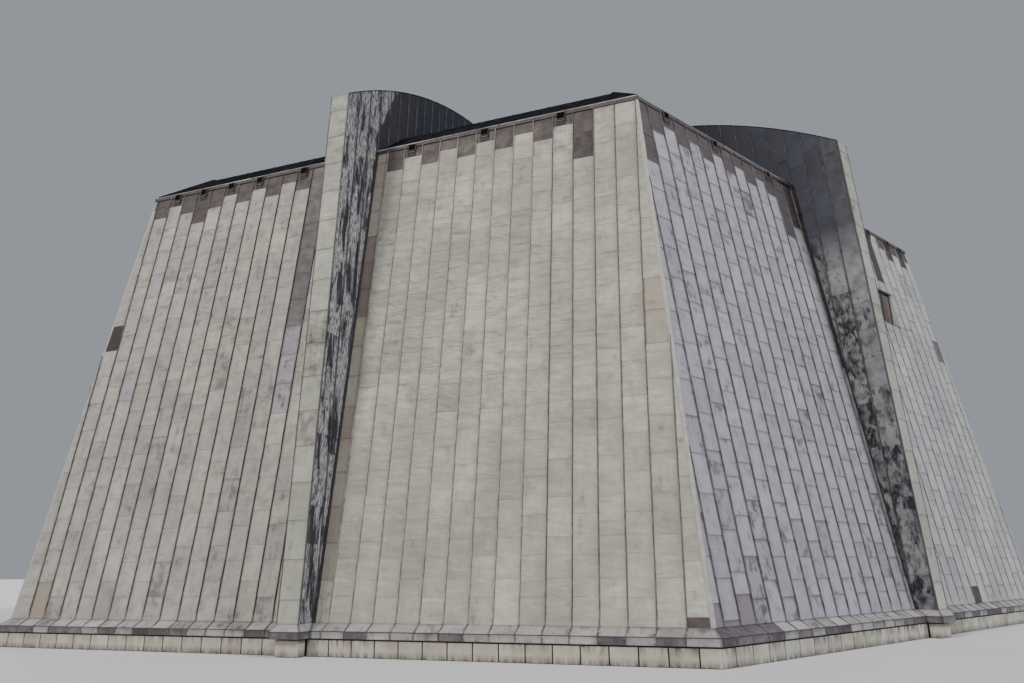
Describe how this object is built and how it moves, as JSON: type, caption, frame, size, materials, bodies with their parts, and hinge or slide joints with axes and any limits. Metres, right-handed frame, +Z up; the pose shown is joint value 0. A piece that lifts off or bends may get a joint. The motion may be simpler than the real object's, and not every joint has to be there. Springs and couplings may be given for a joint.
{
  "type": "modern church building",
  "caption": "Six-sided church hall with battered standing-seam metal walls, six projecting fins that run into three crossing arches, and a low faceted roof.",
  "frame": {"origin": "centre of the hexagonal plan, on the ground", "axes": "+Z up; one corner of the hexagon faces -Y and the opposite one +Y; +X is square to a pair of walls"},
  "size_m": [30.7048, 34.5772, 18.78],
  "materials": {
    "wall_sheet": "weathered pale grey-green standing-seam sheet with brown replacement sheets",
    "rib_sheet": "weathered sheet, pale on the edge, mottled purple-black and pale on the sides",
    "skirt_sheet": "weathered sheet with a darker drip band",
    "roof_edge_sheet": "dark weathered sheet with a pale coping lip",
    "roof_sheet": "dark standing-seam sheet, matt",
    "plinth_panel": "pale upright panels with dark joints",
    "window_panel": "dark brown upright louvre panels in a metal frame"
  },
  "bodies": {
    "root": {"arch_rib_1": "rib_sheet", "arch_rib_2": "rib_sheet", "arch_rib_3": "rib_sheet", "arch_rib_4": "rib_sheet", "arch_rib_5": "rib_sheet", "arch_rib_6": "rib_sheet", "crown": "rib_sheet", "high_window": "window_panel", "plinth_1": "plinth_panel", "plinth_2": "plinth_panel", "plinth_3": "plinth_panel", "plinth_4": "plinth_panel", "plinth_5": "plinth_panel", "plinth_6": "plinth_panel", "roof_edge_1": "roof_edge_sheet", "roof_edge_2": "roof_edge_sheet", "roof_edge_3": "roof_edge_sheet", "roof_edge_4": "roof_edge_sheet", "roof_edge_5": "roof_edge_sheet", "roof_edge_6": "roof_edge_sheet", "roof_field_1": "roof_sheet", "roof_field_2": "roof_sheet", "roof_field_3": "roof_sheet", "roof_field_4": "roof_sheet", "roof_field_5": "roof_sheet", "roof_field_6": "roof_sheet", "skirt_1": "skirt_sheet", "skirt_2": "skirt_sheet", "skirt_3": "skirt_sheet", "skirt_4": "skirt_sheet", "skirt_5": "skirt_sheet", "skirt_6": "skirt_sheet", "wall_1_left": "wall_sheet", "wall_1_right": "wall_sheet", "wall_2_left": "wall_sheet", "wall_2_right": "wall_sheet", "wall_3_left": "wall_sheet", "wall_3_right": "wall_sheet", "wall_4_left": "wall_sheet", "wall_4_right": "wall_sheet", "wall_5_left": "wall_sheet", "wall_5_right": "wall_sheet", "wall_6_left": "wall_sheet", "wall_6_right": "wall_sheet"}
  },
  "joints": []
}
